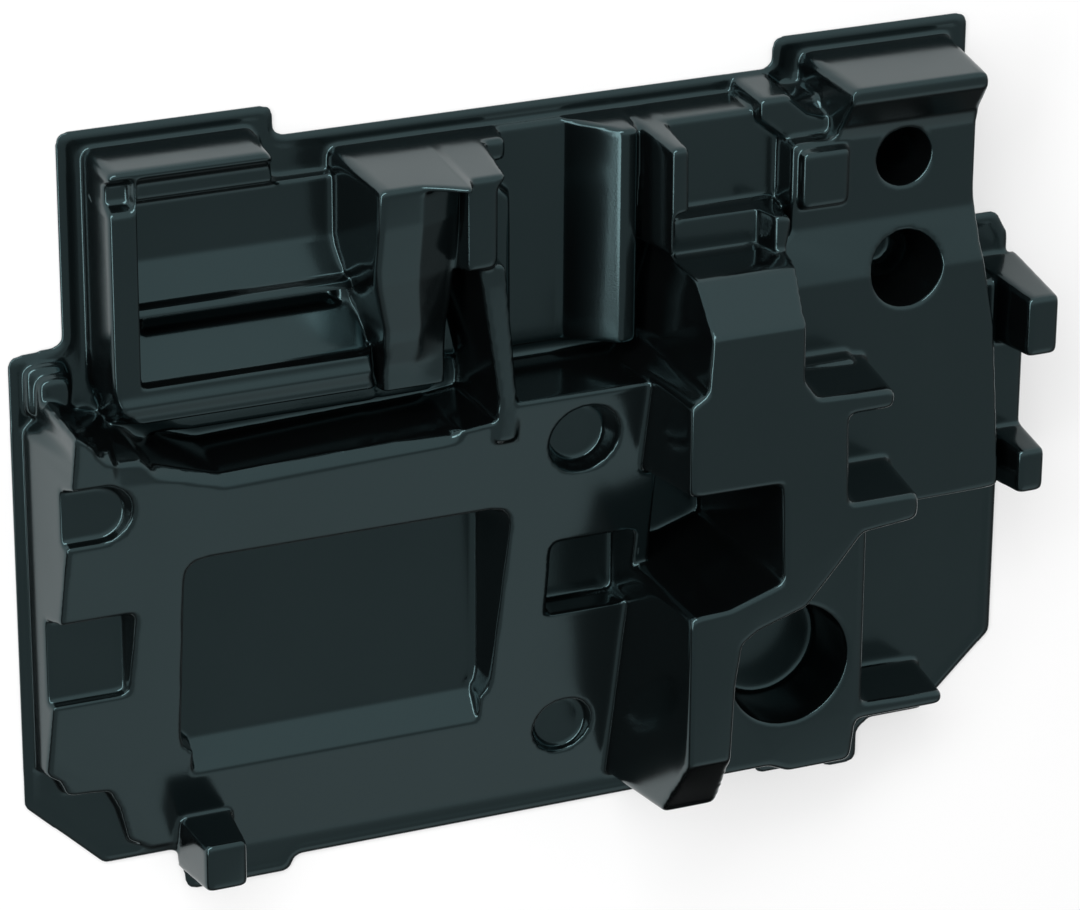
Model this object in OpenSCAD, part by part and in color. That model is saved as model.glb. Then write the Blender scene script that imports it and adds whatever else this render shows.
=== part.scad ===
// Tool case insert: one sheet of black polystyrene, vacuum formed over a mould.
// It lies on its flange. Heights are measured up from the upper face of the flange.

/* [Sheet] */
// Thickness of the formed sheet
wall = 1.4; // [1:0.1:2.2]
// How far a formed wall leans in for each millimetre of height
lean = 0.08; // [0.04:0.01:0.12]
// Radius of the corners seen from above
corner_r = 3; // [1.5:0.5:4]
// Width of the bevel along the top edges
edge_bevel = 1; // [0.4:0.2:1.4]

/* [Flange] */
// Width over the flange
flange_w = 372; // [364:1:384]
// Height of the flange's outline over the two top tabs
flange_l = 268.4; // [264:0.4:276]
// Width of the flange outside the walls
flange_rim = 6.4; // [5:0.2:8]
// How far the flange steps down between the top tabs
tab_drop = 10.8; // [8:0.2:14]
// Size of the cut across the two bottom corners
corner_cut = 27; // [20:1:34]
// Width of the notch in both upper corners
notch_w = 20; // [16:1:24]
// Height of the notch in both upper corners
notch_l = 76; // [70:1:82]
// How far the lower edge hangs below the corner segments
skirt_drop = 11; // [8:0.5:14]
// How far two tabs hang below the lower edge
skirt_tab = 5.5; // [4:0.5:7]
// How far the side lug reaches outside the flange
lug_reach = 4; // [2:0.5:6]

/* [Heights] */
// Height of the battery block's rim
battery_h = 22; // [18:1:26]
// Height of the motor block
motor_h = 40; // [34:1:46]
// Height of the long plateau at its upper edge
plateau_h = 33; // [28:1:38]
// Rise of the plateau for each millimetre along it
plateau_slope = 0.2; // [0.15:0.01:0.24]
// Height of the tall ridge
ridge_h = 61; // [54:1:68]
// Height of the wedge shaped rib at the back
rib_h = 19; // [16:1:22]
// Height of the deck on the right
deck_h = 32; // [28:1:36]
// Height of the low deck with the round well
low_deck_h = 25; // [21:1:29]
// Height of the block at the upper right corner
corner_block_h = 36; // [32:1:42]

/* [Hidden] */

sheet_black = "#232a2b";
below = 0.7;
above = 40;
sky = 160;
arc_steps = 3;
grid = 0.05;
slight_bend = 8;
half_w = flange_w / 2;
half_l = flange_l / 2;
wall_x = half_w - flange_rim - 1.6;
upper_y = half_l - flange_rim;
middle_y = half_l - tab_drop - flange_rim;
low_y = -half_l - skirt_drop + flange_rim;
notch_x = half_w - notch_w;
notch_y = half_l - notch_l;
battery_x = -notch_x + flange_rim + 1;
finger_x = wall_x - 13;
plateau_top_y = 28.4;
plateau_low_y = plateau_top_y - plateau_h / plateau_slope;

// Direction from one point to the next
function along(a, b) = (b - a) / norm(b - a);

// Corner of an outline after its two sides have moved in by d
function mitre(a, b, c, d) =
    let (u = along(a, b), v = along(b, c),
         m = [-u[1], u[0]] + [-v[1], v[0]])
    b + d * m * 2 / (m * m);

// Outline with all its sides moved in by d; points run anticlockwise
function inset(pts, d) =
    let (n = len(pts))
    [for (i = [0:n - 1]) mitre(pts[(i + n - 1) % n], pts[i], pts[(i + 1) % n], d)];

// Sine of the turn at a corner: positive where the outline bulges out
function turn(a, b, c) =
    let (u = along(a, b), v = along(b, c)) u[0] * v[1] - u[1] * v[0];

// Arc that rounds the corner at b; a bend too slight to round stays one point
function corner_arc(a, b, c, r) =
    let (u = along(a, b), v = along(b, c),
         half = acos(max(-1, min(1, u * v))) / 2,
         run = min(r * tan(half), 0.45 * norm(b - a), 0.45 * norm(c - b)),
         p = b - run * u,
         q = b + run * v)
    half < slight_bend ? [b] :
    [for (k = [0:arc_steps])
        let (s = k / arc_steps, t = 1 - s)
        t * t * p + 2 * s * t * b + s * s * q];

// Outline with every corner rounded; corner radius grows inward or outward with the inset
function soft(pts, r, grow = 0) =
    let (n = len(pts))
    [for (i = [0:n - 1])
        let (a = pts[(i + n - 1) % n], b = pts[i], c = pts[(i + 1) % n])
        each corner_arc(a, b, c, max(0.4, r - sign(turn(a, b, c)) * grow))];

// Outline at a height, its points rounded to the grid of the mould drawing
function at_height(pts, z) = [for (p = pts) [grid * round(p[0] / grid), grid * round(p[1] / grid), z]];

// Solid through a stack of outlines that have the same number of points
module loft(rings) {
    n = len(rings[0]);
    last = len(rings) - 1;
    polyhedron(
        points = [for (ring = rings) each ring],
        faces = concat(
            [[for (i = [0:n - 1]) i]],
            [for (k = [0:last - 1]) for (i = [0:n - 1])
                [(k + 1) * n + i, (k + 1) * n + (i + 1) % n, k * n + (i + 1) % n, k * n + i]],
            [[for (i = [n - 1:-1:0]) last * n + i]]),
        convexity = 8);
}

// Raised block: outline at flange level, walls that lean in, bevelled top edge.
// With skin set it is the same block one sheet thickness further in.
module rise(pts, h, skin = 0, r = corner_r, bevel = edge_bevel, slope = lean) {
    level = skin > 0 ? -wall : 0;
    foot = level - below;
    top = h - skin;
    shoulder = top - bevel;
    loft([
        at_height(soft(inset(pts, skin + slope * foot), r, skin), foot),
        at_height(soft(inset(pts, skin + slope * level), r, skin), level),
        at_height(soft(inset(pts, skin + slope * shoulder), r, skin), shoulder),
        at_height(soft(inset(pts, skin + slope * shoulder + bevel), r, skin), top)]);
}

// Outline at the foot of a wall, from its outline at height h
function foot_of(pts, h) = inset(pts, -lean * h);

// Raised block on a rectangular foot
module pad(x0, x1, y0, y1, h, skin = 0, r = 2) {
    hull()
        rise([[x0, y0], [x1, y0], [x1, y1], [x0, y1]], h, skin, r);
}

// Cavity: outline at its floor, walls that open upward, cut on through what lies above.
module sink(pts, floor_h, top_h, skin = 0, r = corner_r, slope = lean) {
    level = floor_h - skin;
    low = level - (floor_h <= 0 ? below : 0);
    high = top_h + above;
    heights = floor_h <= 0 ? [low, level, high] : [level, high];
    loft([for (z = heights)
        at_height(soft(inset(pts, -skin - slope * (z - floor_h)), r, -skin), z)]);
}

// Round cavity with a leaning wall
module sink_round(x, y, r, floor_h, top_h, skin = 0, slope = lean) {
    level = floor_h - skin;
    low = level - (floor_h <= 0 ? below : 0);
    high = top_h + above;
    translate([x, y, low])
        cylinder(h = high - low, r1 = r + skin - slope * (level - low), r2 = r + skin + slope * (high - level), $fn = 48);
}

// Cut above a side profile, given as points along Y and up Z, from x0 to x1.
// With skin set the profile moves in by one sheet thickness, square to its surface.
module trim_above(profile, x0, x1, skin = 0) {
    first = profile[0];
    last = profile[len(profile) - 1];
    region = concat(profile, [[last[0], sky], [first[0], sky]]);
    translate([x0, 0, 0])
        rotate([90, 0, 90])
            linear_extrude(x1 - x0)
                polygon(inset(region, -skin));
}

// Height of the sloping plateau at a place along Y
function plateau_at(y) = (y - plateau_low_y) * plateau_slope;

// The flat rim all round, with a notch in each upper corner
module flange() {
    outline = [
        [-half_w, -half_l + corner_cut],
        [-half_w + corner_cut + 1, -half_l],
        [-131, -half_l],
        [-128, -half_l - skirt_drop - skirt_tab],
        [-90, -half_l - skirt_drop - skirt_tab],
        [-88, -half_l - skirt_drop],
        [54, -half_l - skirt_drop],
        [57, -half_l - skirt_drop + 3],
        [90, -half_l - skirt_drop + 3],
        [92, -half_l - skirt_drop - 3],
        [104, -half_l - skirt_drop - 3],
        [106, -half_l - skirt_drop + 1],
        [117, -half_l - skirt_drop + 1],
        [119, -half_l - skirt_drop - skirt_tab],
        [132.4, -half_l - skirt_drop - skirt_tab],
        [132.4, -half_l - 4],
        [137, -half_l],
        [half_w - corner_cut - 1, -half_l],
        [half_w, -half_l + corner_cut],
        [half_w, notch_y - 9],
        [half_w - 5, notch_y],
        [notch_x, notch_y],
        [notch_x, half_l],
        [91, half_l],
        [91, half_l - tab_drop],
        [-92, half_l - tab_drop],
        [-92, half_l],
        [-notch_x - 1, half_l],
        [-notch_x - 1, notch_y + 2],
        [-half_w, notch_y]];
    translate([0, 0, -wall])
        linear_extrude(wall)
            polygon(soft(outline, corner_r + 1));
}

// Long sloping plateau, lower left, with its wells
module plateau(skin) {
    outline = [
        [-wall_x, -92],
        [-wall_x + 5, -103],
        [-wall_x + 20, -104],
        [-wall_x + 24, -112],
        [-wall_x + 28, -126],
        [-wall_x + 36, -131],
        [-wall_x + 50, -131],
        [-wall_x + 52, low_y],
        [40, low_y],
        [40, 31],
        [-18, 31],
        [-24, 25],
        [-44, 22.6],
        [-122, 20.3],
        [-wall_x + 32, 28],
        [-wall_x + 27, 34],
        [-wall_x + 14, 36.6],
        [-wall_x + 6, 44],
        [-wall_x, 46]];
    top_y = 64;
    rim = [[-160, -1], [plateau_low_y, 0], [top_y, plateau_at(top_y)]];
    difference() {
        rise(outline, 44, skin);
        trim_above(rim, -half_w, 60, skin);
        plateau_wells(skin);
    }
}

// Wells sunk in the plateau
module plateau_wells(skin) {
    // wide well with a flat floor and a ramp along its lower side
    sink([[-131, -92], [-19.5, -92], [-19.5, -17], [-131, -17]], 0, 20, skin, r = 8, slope = 0.15);
    ramp = [[-92, 0], [-90, -6], [-80, -6], [-80, 60], [-105, 60], [-102.3, 6.9]];
    translate([-127.5 - skin, 0, 0])
        rotate([90, 0, 90])
            linear_extrude(106 + 2 * skin)
                polygon(inset(ramp, -skin));
    // two finger wells open to the left
    sink_round(-finger_x, 9.5, 9.3, 23.5, 30, skin, slope = 0.35);
    sink([[-half_w, 0.2], [-finger_x, 0.2], [-finger_x, 18.8], [-half_w, 18.8]], 23.5, 30, skin, r = 1, slope = 0.35);
    sink([[-half_w, -63.4], [-finger_x + 12, -63.4], [-finger_x + 12, -33], [-half_w, -33]], 11, 30, skin, slope = 0.2);
    // round wells
    sink_round(9, 9, 10.6, 19, 30, skin, slope = 0.25);
    sink_round(12, -111, 10.5, 0, 20, skin);
    // square well beside the ridge
    sink([[2, -61], [31, -61], [31, -33], [2, -33]], 3, 30, skin);
}

// Battery block: rim on three sides and a stepped seat that climbs toward the lower rim
module battery_block(skin) {
    outline = [
        [battery_x, 60],
        [battery_x + 0.2, 48],
        [battery_x + 3.6, 38],
        [battery_x + 4, 26.5],
        [-57.6, 26.5],
        [-62.6, 48],
        [-62.6, 109],
        [-92, 109],
        [-97, 112],
        [-98, upper_y - 4],
        [-101, upper_y],
        [battery_x, upper_y]];
    front = [[20, 9], [28.5, 10], [33, 14], [40, 19], [47, battery_h + 2], [150, battery_h + 2]];
    seat = [
        [49.6, battery_h + 2],
        [50, battery_h - 4],
        [64, 7],
        [70.5, 6],
        [71.5, 15],
        [74.5, 14],
        [75, 10],
        [87.6, 4],
        [108.5, 4],
        [114, battery_h - 5],
        [120, battery_h - 5],
        [124.6, battery_h + 2],
        [130, sky],
        [49, sky]];
    difference() {
        rise(outline, battery_h, skin);
        trim_above(front, -half_w, 0, skin);
        translate([battery_x + 11.6 - skin, 0, 0])
            rotate([90, 0, 90])
                linear_extrude(140 + skin)
                    polygon(inset(seat, -skin));
    }
}

// Motor block beside the battery pocket, with its folded front
module motor_block(skin) {
    outline = [
        [-73, 60],
        [-72.5, 50],
        [-59.5, 27],
        [-38, 27],
        [-37, 78],
        [-24.6, 78],
        [-24.6, 108],
        [-17, middle_y],
        [-73, middle_y]];
    front = [[20, 10], [28.5, 11], [41, 32], [46.5, 37.5], [58, motor_h + 0.6], [150, motor_h + 4]];
    fold = [[-57.3, motor_h + 1.8], [-41, motor_h - 11], [-39, motor_h - 11], [-36.5, sky], [-60, sky]];
    difference() {
        rise(outline, motor_h, skin);
        trim_above(front, -100, 0, skin);
        translate([0, 112, 0])
            rotate([90, 0, 0])
                linear_extrude(140)
                    polygon(inset(fold, -skin));
    }
    pad(-30, -12.5, 107, middle_y - 0.2, 12, skin);
}

// Narrow rib from the motor block down to the plateau
module channel_rib(skin) {
    outline = [
        [-28, 12],
        [-15, 12],
        [-15, 30],
        [-21.5, 84],
        [-37, 84],
        [-27, 30]];
    crest = [[0, 31], [26, 32.5], [74, 37], [120, 37]];
    difference() {
        rise(outline, motor_h, skin, r = 2);
        trim_above(crest, -60, 0, skin);
    }
}

// Back panel with its wedge shaped rib
module back_rib(skin) {
    step = [[-24, 36], [-9.5, 36], [-9.5, 94], [-14, 98], [-30, 98], [-30, 62]];
    wedge_face = [[-9, 1], [10, 2], [29.4, rib_h + 3], [70, rib_h + 3], [70, sky], [-9, sky]];
    pad(-34, 44, 36, middle_y, 3, skin, r = 3);
    rise(step, 8.6, skin, r = 2);
    difference() {
        pad(-6, 34, 36.3, middle_y, rib_h, skin);
        translate([0, 130, 0])
            rotate([90, 0, 0])
                linear_extrude(120)
                    polygon(inset(wedge_face, -skin));
    }
}

// Post, shelf and the two steps up to the ridge
module shelf(skin) {
    post = [[33.4, 72.4], [46.4, 70.4], [45.3, middle_y - 0.4], [33, middle_y - 0.4]];
    ledge = [[75, 112], [86, 103], [106, 103], [106, 112], [96, 115], [88, 122], [75, 122]];
    pad(40, 104, 60, middle_y, 16, skin);
    pad(48, 106, 56, 76.4, 24, skin);
    rise(post, 38, skin, r = 2);
    rise(ledge, 21, skin, r = 2);
}

// Tall ridge down the middle
module ridge(skin) {
    crest = [
        [35.6, -131.2],
        [54, -131.2],
        [52, -110],
        [53.4, -78],
        [55.7, -63],
        [61.7, -58.9],
        [80, -53],
        [91.5, -39.8],
        [100.8, -28.5],
        [122, -26.5],
        [122, -16.6],
        [95, -16.6],
        [94, 17],
        [111.4, 17],
        [111.4, 24],
        [82, 25],
        [77, 32],
        [76.7, 55],
        [81, 80],
        [46, 80],
        [42, 55.4],
        [40.6, 33],
        [34.2, 29],
        [34.3, -4.6],
        [69.5, -5],
        [70.8, -42],
        [50.4, -48.8],
        [35.6, -49.6]];
    profile = [[-150, 34], [-130.4, 43], [-102.4, ridge_h + 3], [50, ridge_h + 3], [67.6, 44], [70, 34], [90, 34]];
    difference() {
        rise(foot_of(crest, ridge_h), ridge_h, skin);
        trim_above(profile, 0, 140, skin);
    }
}

// Deck on the right: flat, then a trough that climbs to the corner block
module deck(skin) {
    outline = [
        [70, -37.6],
        [wall_x - 6, -36],
        [wall_x - 11, 30],
        [wall_x - 17, 60],
        [notch_x - 7, 80],
        [notch_x - 7, upper_y],
        [101, upper_y],
        [101, 107],
        [84, 107],
        [84, 74],
        [74, 66]];
    trough_z = deck_h - 5;
    profile = [
        [-60, deck_h],
        [54, deck_h],
        [74, trough_z],
        [104, trough_z],
        [109, trough_z + 1.6],
        [119.9, corner_block_h],
        [140, corner_block_h]];
    difference() {
        rise(outline, corner_block_h + 3, skin);
        trim_above(profile, 40, half_w + lug_reach, skin);
        sink_round(129.3, 94.7, 8.6, 4, 30, skin);
        sink_round(129.6, 55, 10, 12, 30, skin, slope = 0.2);
    }
    pad(86.3, 109, 79.5, 105, 31, skin);
    pad(70, 110, 20, 31, 39, skin);
    pad(80.6, 107, -20, -5.6, 39.3, skin);
}

// Low deck at the bottom with the large round well
module low_deck(skin) {
    outline = [
        [36, low_y + 4.4],
        [84, low_y + 4.4],
        [92, low_y + 1],
        [119, low_y + 1],
        [121, -122],
        [156, -122],
        [156, -113],
        [123, -112],
        [123, -30],
        [68, -30],
        [68, -54],
        [36, -54]];
    difference() {
        rise(outline, low_deck_h, skin);
        sink_round(91.5, -93, 21, 0, 20, skin);
    }
}

// Side shelf and the lugs that grip the case
module lugs(skin) {
    pad(wall_x - 28, wall_x + 9, -26, 40, 16, skin);
    pad(wall_x - 6, half_w + lug_reach, 14, 42, 38, skin);
    pad(wall_x - 6, half_w + lug_reach - 2, -39, -17, 36, skin);
    pad(-131.6, -112.6, -141.5, -120, 25, skin);
    pad(-wall_x - 3.2, -wall_x + 11, 37, 55.4, 3.4, skin, r = 4);
    pad(-wall_x - 0.4, -wall_x + 12, 36, 52.6, 7.6, skin, r = 4);
}

// Everything that the sheet is drawn over
module form(skin = 0) {
    plateau(skin);
    battery_block(skin);
    motor_block(skin);
    channel_rib(skin);
    back_rib(skin);
    shelf(skin);
    ridge(skin);
    deck(skin);
    low_deck(skin);
    lugs(skin);
}

module insert_shell() {
    color(sheet_black)
        translate([-(lug_reach + lean * wall) / 2, (skirt_drop + skirt_tab) / 2, wall])
            difference() {
                union() {
                    flange();
                    form();
                }
                form(wall);
            }
}

insert_shell();
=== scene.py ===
from math import exp, radians

import bpy
import numpy as np
from mathutils.kdtree import KDTree
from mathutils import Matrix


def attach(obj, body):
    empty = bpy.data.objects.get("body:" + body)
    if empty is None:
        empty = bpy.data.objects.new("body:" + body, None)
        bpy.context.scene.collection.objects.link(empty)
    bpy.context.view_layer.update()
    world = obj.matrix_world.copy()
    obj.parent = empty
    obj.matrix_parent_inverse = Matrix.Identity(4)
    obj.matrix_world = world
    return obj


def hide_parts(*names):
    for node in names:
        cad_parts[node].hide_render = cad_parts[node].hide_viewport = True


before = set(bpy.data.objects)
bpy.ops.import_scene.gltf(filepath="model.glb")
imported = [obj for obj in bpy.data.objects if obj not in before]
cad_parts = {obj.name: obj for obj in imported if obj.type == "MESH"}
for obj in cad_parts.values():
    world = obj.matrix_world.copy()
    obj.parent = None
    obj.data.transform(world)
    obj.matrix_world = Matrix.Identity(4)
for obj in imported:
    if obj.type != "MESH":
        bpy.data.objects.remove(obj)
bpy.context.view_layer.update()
scene = bpy.context.scene
scene.view_settings.view_transform = "Standard"

# Formed sheet: black high impact polystyrene, about 1.4 mm thick, drawn down warm over a mould.
# A warm sheet bridges every sharp edge of its mould, so all edges and feet of the form are round.
# The solid has sharp edges, so its mesh is resampled finely and relaxed until it has those radii.
sheet_voxel = 0.00065
sheet_triangles = 190000
upright_limit = 0.6


def apply_modifier(piece, kind, settings):
    """Replaces the piece's mesh by the result of one modifier."""
    modifier = piece.modifiers.new(kind.lower(), kind)
    for key, value in settings.items():
        setattr(modifier, key, value)
    graph = bpy.context.evaluated_depsgraph_get()
    made = bpy.data.meshes.new_from_object(piece.evaluated_get(graph))
    piece.modifiers.clear()
    piece.data = made


sheet = bpy.data.objects.new("formed_sheet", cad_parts["insert_shell"].data.copy())
scene.collection.objects.link(sheet)
sheet.data.materials.clear()
apply_modifier(sheet, "REMESH", {"mode": "VOXEL", "voxel_size": sheet_voxel})

count = len(sheet.data.vertices)
points = np.zeros(count * 3, np.float32)
sheet.data.vertices.foreach_get("co", points)
points = points.reshape(-1, 3).astype(float)
normals = np.zeros(count * 3, np.float32)
sheet.data.vertices.foreach_get("normal", normals)
upright = np.abs(normals.reshape(-1, 3)[:, 2]) < upright_limit
edges = np.zeros(len(sheet.data.edges) * 2, np.int32)
sheet.data.edges.foreach_get("vertices", edges)
edges = edges.reshape(-1, 2)


def smooth(value, start, end):
    """Runs from 0 at start to 1 at end, without a kink."""
    t = np.clip((value - start) / (end - start), 0, 1)
    return t * t * (3 - 2 * t)


def band(value, low, high, soft):
    """Is 1 between low and high and fades to 0 over the soft width on each side."""
    return smooth(value, low - soft, low) * (1 - smooth(value, high, high + soft))


def along(value, *corners):
    """Straight lines from corner to corner, each given as a place and the value there."""
    places, values = zip(*corners)
    return np.interp(value, places, values)


# Last details of the mould, in millimetres from the mould's own zero, which lies near the middle of
# the flange, on its top face. Each detail moves both faces of the sheet together.
mould_zero = (-2.056, 8.25, 1.4)
x, y, z = (points * 1000 - mould_zero).T

# Battery block: its lower rim is flat, and ends in a steep wall above the channel.
rim_was = along(y, (20, 9), (28.5, 10), (33, 14), (40, 19), (47, 22))
rim_now = along(y, (20, 9), (34.5, 10), (37, 22))
motor_side = along(y, (27, -59.5), (50, -72.5), (60, -73))
on_motor = smooth(x, motor_side - 0.5, motor_side + 2.2)
on_rim = band(x, -160, -30, 0.5) * band(y, 20, 47, 0.5) * (z > 0)
z = z * (1 + on_rim * (1 - on_motor) * (rim_now / rim_was - 1))

# Motor block: its front slopes down to that rim, and only its right part is folded a little.
fold_was_start = -57.3
fold_was_top = 41.8
fold_was_slope = 0.785
fold_end = -41
fold_now_start = -54.4
fold_now_slope = 0.32
fold_x = np.clip(x, fold_was_start, fold_end)
fold_was = fold_was_top - fold_was_slope * (fold_x - fold_was_start)
front_was = along(y, (20, 10), (28.5, 11), (41, 32), (46.5, 37.5), (58, 40))
front_was = np.minimum(front_was, fold_was)
front_now = along(y, (20, 9), (33.5, 10), (35.5, 22.5), (45, 24), (60, 28.5), (80, 34.5),
                  (100, 38.5), (118, 40))
front_now = front_now - fold_now_slope * np.maximum(0, fold_x - fold_now_start) * smooth(y, 34, 60)
on_motor = on_motor * (1 - smooth(x, -39.6, -38.6)) * band(y, 20, 119, 0.5) * (z > 0)
z = z * (1 + on_motor * (front_now / front_was - 1))

# Motor block's left wall: it turns to the right on its way down to the rim.
wall_turn = along(y, (33, 0), (35, 0), (41, 2), (50, 6.5), (60, 5.8), (68.5, 3.3), (77, 1), (84, 0))
x = x + wall_turn * along(x, (-92, 0), (-73, 1), (-66, 1), (-54, 0.55), (-40, 0))

# Battery rim's left arm: it has a saddle near its upper end.
saddle_depth = 5
z = z - saddle_depth * band(x, -160, -149, 1.5) * band(y, 114, 121, 2.2) * smooth(z, 2, 20)

# Battery seats: a groove parts the two.
groove_depth = 5.3
in_groove = band(x, -141, -73, 0.6) * band(y, 64.5, 69.5, 0.6)
z = z - groove_depth * in_groove * (1 - smooth(z, 8, 11))

# Tall ridge: it ends in a steep wall, down to the strip above the shelf.
end_foot = 20
end_share = 0.72
on_end = band(x, 39, 75.5, 0.8) * smooth(y, 68.6, 69.6) * (1 - smooth(y, 88, 89)) * (z > end_foot)
z = z - on_end * (z - end_foot) * end_share

# Plateau: its upper edge has a broad bevel.
bevel_share = 0.1
plateau_edge = along(x, (-172, 46), (-164, 36.6), (-151, 34), (-146, 28), (-122, 20.3),
                     (-44, 22.6), (-24, 25), (-18, 31), (40, 31))
below_edge = smooth(y, plateau_edge - 7, plateau_edge - 2.6)
above_edge = smooth(y, plateau_edge + 4, plateau_edge + 6)
on_bevel = below_edge * (1 - above_edge) * band(x, -166, -40, 3)
z = z * (1 - bevel_share * on_bevel * (z > 0))

# Outer wall on the left: it leans more than the inner ones.
wall_height = 32
lean = 4.2
on_wall = along(x, (-186, 0), (-179, 1), (-174, 1), (-168.5, 0)) * band(y, -92, 32, 4)
x = x - on_wall * lean * (1 - np.clip(z / wall_height, 0, 1))

# Round wells of the deck: both are deep cups, and the one beside the corner block reaches down to
# the table. Each is a middle and a radius that takes in both faces of its wall.
cup_top = 24
cup_depth_was = 10.8
cup_share = 0.8
in_cup = np.zeros(count, bool)
for cup_x, cup_y, cup_radius in ((129.6, 55, 8.7), (129.3, 94.7, 7.6)):
    in_cup |= np.hypot(x - cup_x, y - cup_y) < cup_radius
z = z - in_cup * cup_share * np.clip(cup_top - z, 0, cup_depth_was)

# Flange: a small bead runs along it, inside its trimmed edge. That edge is what stands upright
# below the flange's top with no wall of the form within two cells of a 1 mm grid.
bead_height = 0.8
bead_inset = 2.6
bead_width = 0.7
grid_half_x = 200
grid_half_y = 170
walled = np.zeros((2 * grid_half_x, 2 * grid_half_y), bool)
cell_x = np.round(x + grid_half_x).astype(int)
cell_y = np.round(y + grid_half_y).astype(int)
rising = upright & (z > 1)
walled[cell_x[rising], cell_y[rising]] = True
for _ in range(2):
    walled[1:-1] |= walled[:-2] | walled[2:]
    walled[:, 1:-1] |= walled[:, :-2] | walled[:, 2:]
rim_points = np.flatnonzero(upright & (z < 0) & ~walled[cell_x, cell_y])
rim_tree = KDTree(len(rim_points))
for number, index in enumerate(rim_points):
    rim_tree.insert((x[index], y[index], 0), number)
rim_tree.balance()
for index in np.flatnonzero((z < 0.6) & ~upright):
    from_rim = rim_tree.find((x[index], y[index], 0))[2]
    z[index] += bead_height * exp(-((from_rim - bead_inset) / bead_width) ** 2)


def relax(points, edges, held, rounds):
    """Moves each point towards the middle of its neighbours; held points stay."""
    ends = edges.T
    count = len(points)
    near = np.bincount(ends.ravel(), minlength=count)
    step = np.where(held | (near == 0), 0.0, 0.5)
    share = step / np.maximum(near, 1)
    for _ in range(rounds):
        for axis in range(3):
            value = points[:, axis]
            total = np.bincount(ends[0], weights=value[ends[1]], minlength=count)
            total += np.bincount(ends[1], weights=value[ends[0]], minlength=count)
            points[:, axis] = value * (1 - step) + total * share


# Radii: the trimmed rim was cut with a knife after forming, so it keeps a crisp edge. The sheet
# bridges two narrow valleys, at the channel's left end and beside the corner block, more roundly.
trim_rounds = 3
trim_top = 0.0013
radius_rounds = 7
valley_rounds = 24
points = (np.stack([x, y, z], axis=1) + mould_zero) / 1000
relax(points, edges, np.zeros(count, bool), trim_rounds)
trimmed = upright & (points[:, 2] < trim_top)
relax(points, edges, trimmed, radius_rounds)
in_valley = np.zeros(count, bool)
for valley_x, valley_y, valley_radius, valley_top in ((-150, 24, 19, 15), (101, 111, 10, 19)):
    in_valley |= (np.hypot(x - valley_x, y - valley_y) < valley_radius) & (z < valley_top)
relax(points, edges, trimmed | ~in_valley, valley_rounds)
points[:, 2] = np.maximum(points[:, 2], 0)
sheet.data.vertices.foreach_set("co", points.ravel().astype(np.float32))
sheet.data.update()

sheet.data.calc_loop_triangles()
apply_modifier(sheet, "DECIMATE", {"ratio": sheet_triangles / len(sheet.data.loop_triangles)})
sheet.data.shade_smooth()


def linear(code):
    """Linear colour from an sRGB hex code."""
    parts = [int(code[i:i + 2], 16) / 255 for i in (1, 3, 5)]
    return [p / 12.92 if p <= 0.04045 else ((p + 0.055) / 1.055) ** 2.4 for p in parts] + [1.0]


def add_node(tree, kind, inputs=None, **settings):
    """Adds a node, sets its properties and gives each input a value or a link."""
    made = tree.nodes.new(kind)
    for key, value in settings.items():
        setattr(made, key, value)
    for key, value in (inputs or {}).items():
        if isinstance(value, bpy.types.NodeSocket):
            tree.links.new(value, made.inputs[key])
        else:
            made.inputs[key].default_value = value
    return made


# High impact polystyrene, gloss black, as extruded: a smooth skin that the mould dulls a little.
# To the eye it is a deep green grey black with soft reflections that wander where the sheet cooled.
polystyrene = bpy.data.materials.new("polystyrene_sheet_black")
polystyrene.use_nodes = True
tree = polystyrene.node_tree
tree.nodes.clear()
place = add_node(tree, "ShaderNodeTexCoord")
# Patches of slower and faster cooling, about 40 mm across.
cooling = add_node(tree, "ShaderNodeTexNoise", {
    "Vector": place.outputs["Object"], "Scale": 25.0, "Detail": 3.0})
# Skin of the sheet: real grain of about 0.1 mm, drawn at 0.7 mm so that it shows.
skin = add_node(tree, "ShaderNodeTexNoise", {
    "Vector": place.outputs["Object"], "Scale": 1400.0, "Detail": 2.0})
tone = add_node(tree, "ShaderNodeMix", {
    "Factor": cooling.outputs["Fac"], "A": linear("#040506"), "B": linear("#060808")}, data_type="RGBA")
dull = add_node(tree, "ShaderNodeMapRange", {
    "Value": cooling.outputs["Fac"], "From Min": 0.3, "From Max": 0.7, "To Min": 0.13, "To Max": 0.18})
grain = add_node(tree, "ShaderNodeBump", {
    "Height": skin.outputs["Fac"], "Strength": 0.12, "Distance": 0.0001})
plastic = add_node(tree, "ShaderNodeBsdfPrincipled", {
    "Base Color": tone.outputs["Result"], "Roughness": dull.outputs["Result"], "IOR": 1.59,
    "Specular Tint": linear("#c8f8ff"), "Normal": grain.outputs["Normal"]})
add_node(tree, "ShaderNodeOutputMaterial", {"Surface": plastic.outputs["BSDF"]})
sheet.data.materials.clear()
sheet.data.materials.append(polystyrene)
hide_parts("insert_shell")
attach(sheet, "root")

# Floor: a matt white table under the part, wide enough to fill the view and the reflections.
# It is not part of the object.
floor_half = 3.0
floor_drop = 0.0002
floor_mesh = bpy.data.meshes.new("studio_floor")
floor_mesh.from_pydata([(-floor_half, -floor_half, 0), (floor_half, -floor_half, 0),
                        (floor_half, floor_half, 0), (-floor_half, floor_half, 0)], [], [(0, 1, 2, 3)])
floor = bpy.data.objects.new("studio_floor", floor_mesh)
scene.collection.objects.link(floor)
floor.location = (0, 0, -floor_drop)

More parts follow.
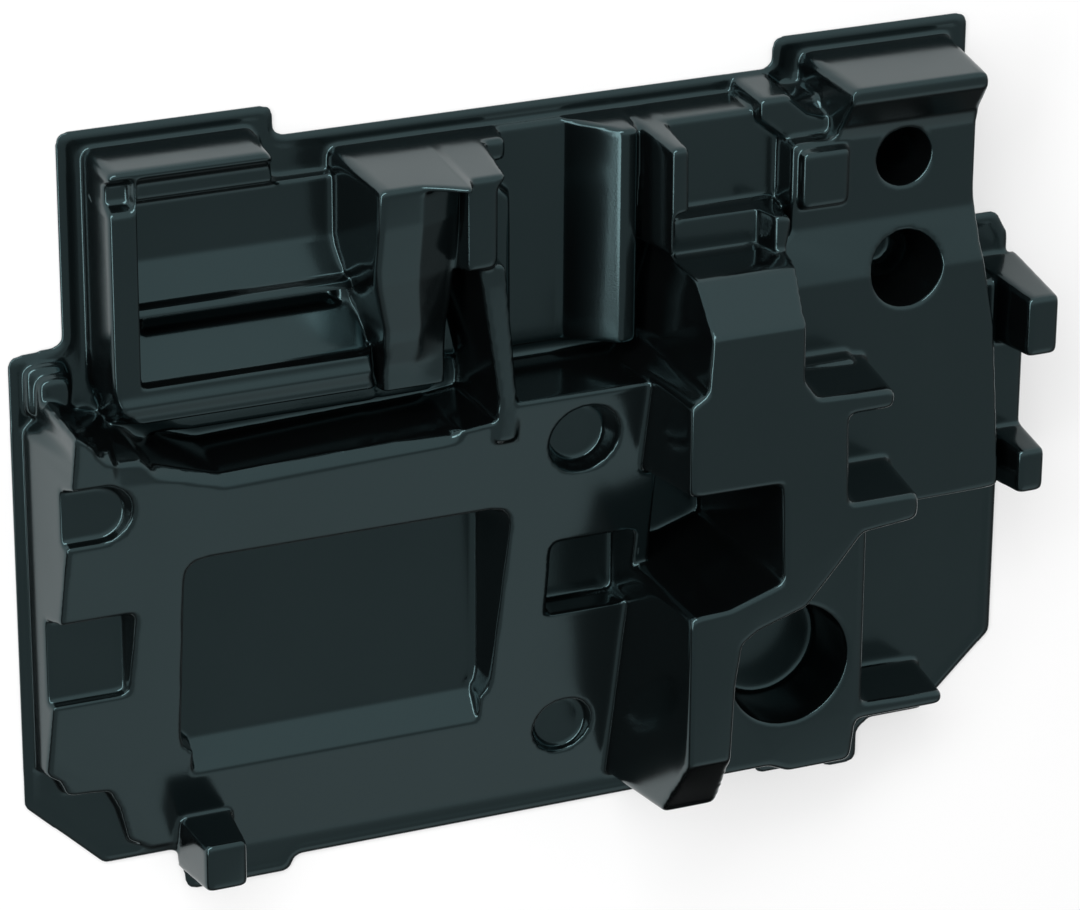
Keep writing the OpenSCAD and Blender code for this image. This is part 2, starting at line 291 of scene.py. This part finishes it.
# Matt white paper on a roll. It ends just past the part's -Y side; the gloss of the sheet sees the
# dark studio beyond. Half of what the camera sees of it is its own white, so that the ground is
# white and the shadow stays soft.
white_paper = bpy.data.materials.new("paper_matt_white")
white_paper.use_nodes = True
roll = white_paper.node_tree
roll.nodes.clear()
on_roll = add_node(roll, "ShaderNodeTexCoord")
roll_part = add_node(roll, "ShaderNodeSeparateXYZ", {"Vector": on_roll.outputs["Object"]})
roll_end = add_node(roll, "ShaderNodeMapRange", {
    "Value": roll_part.outputs["Y"], "From Min": -0.3, "From Max": -0.17})
seen = add_node(roll, "ShaderNodeLightPath")
lit = add_node(roll, "ShaderNodeMath", {
    0: seen.outputs["Is Camera Ray"], 1: roll_end.outputs["Result"]}, operation="MAXIMUM")
paper_tone = add_node(roll, "ShaderNodeMix", {
    "Factor": lit.outputs["Value"], "A": linear("#101010"), "B": linear("#f6f6f6")}, data_type="RGBA")
paper = add_node(roll, "ShaderNodeBsdfDiffuse", {"Color": paper_tone.outputs["Result"]})
glow = add_node(roll, "ShaderNodeEmission", {"Color": linear("#ffffff"), "Strength": 1.0})
veil = add_node(roll, "ShaderNodeMath", {0: seen.outputs["Is Camera Ray"], 1: 0.5}, operation="MULTIPLY")
ground = add_node(roll, "ShaderNodeMixShader", {
    0: veil.outputs["Value"], 1: paper.outputs["BSDF"], 2: glow.outputs["Emission"]})
add_node(roll, "ShaderNodeOutputMaterial", {"Surface": ground.outputs["Shader"]})
floor_mesh.materials.append(white_paper)

# Studio: bright walls on the +Y side that grow dim over the top towards the -Y side, where a
# black curtain hangs low and one soft box stands above it. The gloss of the sheet reflects them.
world = bpy.data.worlds.new("studio_walls")
scene.world = world
world.use_nodes = True
sky = world.node_tree
sky.nodes.clear()
way = add_node(sky, "ShaderNodeTexCoord")
part = add_node(sky, "ShaderNodeSeparateXYZ", {"Vector": way.outputs["Generated"]})
walls = add_node(sky, "ShaderNodeMapRange", {
    "Value": part.outputs["Y"], "From Min": -0.3, "From Max": 0.3, "To Min": 0.43, "To Max": 1.05},
    interpolation_type="SMOOTHSTEP")
curtain_side = add_node(sky, "ShaderNodeMapRange", {
    "Value": part.outputs["Y"], "From Min": -0.5, "From Max": -0.1})
curtain_top = add_node(sky, "ShaderNodeMapRange", {
    "Value": part.outputs["Z"], "From Min": 0.15, "From Max": 0.6, "To Min": 0.1, "To Max": 1.0})
curtain = add_node(sky, "ShaderNodeMath", {
    0: curtain_side.outputs["Result"], 1: curtain_top.outputs["Result"]}, operation="MAXIMUM")
room = add_node(sky, "ShaderNodeMath", {
    0: walls.outputs["Result"], 1: curtain.outputs["Value"]}, operation="MULTIPLY")
box_side = add_node(sky, "ShaderNodeVectorMath", {
    0: way.outputs["Generated"], 1: (0.395, -0.686, 0.61)}, operation="DOT_PRODUCT")
box = add_node(sky, "ShaderNodeMapRange", {
    "Value": box_side.outputs["Value"], "From Min": 0.95, "From Max": 0.99, "To Min": 0.0, "To Max": 0.37},
    interpolation_type="SMOOTHSTEP")
level = add_node(sky, "ShaderNodeMath", {
    0: room.outputs["Value"], 1: box.outputs["Result"]}, operation="ADD")
wall = add_node(sky, "ShaderNodeBackground", {
    "Color": linear("#ffffff"), "Strength": level.outputs["Value"]})
add_node(sky, "ShaderNodeOutputWorld", {"Surface": wall.outputs["Background"]})


def soft_box(name, place, turn, width, length, watts):
    """Adds one rectangular lamp."""
    data = bpy.data.lights.new(name, "AREA")
    data.shape = "RECTANGLE"
    data.size = width
    data.size_y = length
    data.energy = watts
    lamp = bpy.data.objects.new(name, data)
    lamp.location = place
    lamp.rotation_euler = [radians(a) for a in turn]
    scene.collection.objects.link(lamp)


# Lamps: both light the paper beside the part, which its steep walls reflect. They stand where no
# broad face of the part mirrors them towards the camera.
soft_box("far_soft_box", (-0.9, 1.4, 1.1), (-56.5, 0, 32.7), 1.6, 0.5, 22)
soft_box("left_soft_box", (-1.6, 0.1, 1.0), (0, -58, 0), 0.5, 1.6, 14)

# Camera: looks down on the part from the upper left, as in the photograph, through a long lens.
camera_data = bpy.data.cameras.new("camera")
camera_data.sensor_width = 36
camera_data.lens = 166.7
camera_data.clip_start = 0.05
camera_data.clip_end = 20
camera = bpy.data.objects.new("camera", camera_data)
camera.location = (-0.6329, 0.6869, 1.4672)
camera.rotation_euler = (radians(-23.380), radians(-23.296), radians(0.374))
scene.collection.objects.link(camera)
scene.camera = camera
